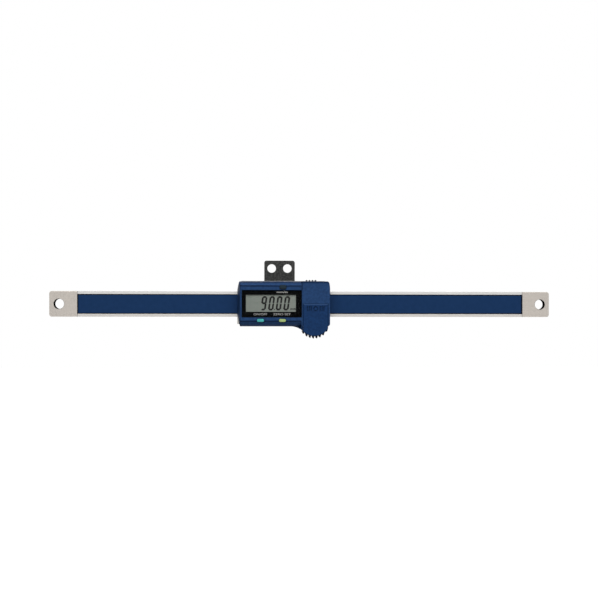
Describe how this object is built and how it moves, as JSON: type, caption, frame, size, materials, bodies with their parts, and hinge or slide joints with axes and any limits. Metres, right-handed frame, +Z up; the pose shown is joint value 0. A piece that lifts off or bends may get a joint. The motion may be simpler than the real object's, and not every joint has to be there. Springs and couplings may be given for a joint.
{
  "type": "digital linear scale",
  "caption": "Digital linear scale: flat steel beam with a blue measuring strip and a battery-powered display slider that runs along it, with a bolt-on bracket.",
  "frame": {"origin": "middle of the two end holes, on the beam's back face", "axes": "+X along the beam to the right as seen from the display side, +Z up, the display faces -Y"},
  "size_m": [0.315, 0.0169, 0.049],
  "materials": {
    "satin_steel": "satin",
    "blue_film": "satin",
    "strip_board": "satin",
    "bronze": "satin",
    "screw_steel": "satin",
    "black_screw": "black oxide",
    "blue_plastic": "fine texture",
    "clear_window": "polished",
    "black_mask": "gloss",
    "display_glass": "satin",
    "connector_rubber": "matt",
    "circuit_board": "satin",
    "chip_resin": "gloss",
    "bright_steel": "polished",
    "gold_contact": "polished",
    "black_plastic": "matt",
    "black_plate": "matt",
    "teal_button": "satin",
    "green_button": "satin",
    "dark_button": "satin"
  },
  "bodies": {
    "beam": {"beam": "satin_steel", "scale_strip": "strip_board", "scale_film": "blue_film"},
    "slider": {"slider_frame": "satin_steel", "gib_strip": "bronze", "gib_screws": "black_screw", "front_housing": "blue_plastic", "window_mask": "black_mask", "display_window": "clear_window", "lcd_glass": "display_glass", "lcd_connectors": "connector_rubber", "main_board": "circuit_board", "chip_cover": "chip_resin", "dome_switches": "bright_steel", "board_screws": "screw_steel", "battery": "bright_steel", "battery_spring": "gold_contact", "battery_clip": "gold_contact", "data_contacts": "gold_contact", "thumb_rest": "black_plastic", "thumb_rest_screws": "screw_steel", "housing_screws": "screw_steel", "mounting_bracket": "black_plate", "bracket_screws": "black_screw"},
    "battery_cover": {"battery_cover": "blue_plastic"},
    "data_port_cover": {"data_port_cover": "black_plastic"},
    "on_off_button": {"on_off_button": "teal_button"},
    "zero_button": {"zero_button": "green_button"},
    "unit_button": {"unit_button": "dark_button"}
  },
  "joints": [
    {"name": "slider_travel", "type": "slide", "parent": "beam", "child": "slider", "axis": [1, 0, 0], "range_m": [-0.0991, 0.1235]},
    {"name": "battery_cover_slide", "type": "slide", "parent": "slider", "child": "battery_cover", "axis": [0, 0, -1], "range_m": [0, 0.024]},
    {"name": "data_port_cover_slide", "type": "slide", "parent": "slider", "child": "data_port_cover", "axis": [1, 0, 0], "range_m": [0, 0.0066]},
    {"name": "on_off_press", "type": "slide", "parent": "slider", "child": "on_off_button", "axis": [0, 1, 0], "range_m": [0, 0.0005], "stiffness_N_per_m": 2000},
    {"name": "zero_press", "type": "slide", "parent": "slider", "child": "zero_button", "axis": [0, 1, 0], "range_m": [0, 0.0005], "stiffness_N_per_m": 2000},
    {"name": "unit_press", "type": "slide", "parent": "slider", "child": "unit_button", "axis": [0, 1, 0], "range_m": [0, 0.0005], "stiffness_N_per_m": 2000}
  ]
}
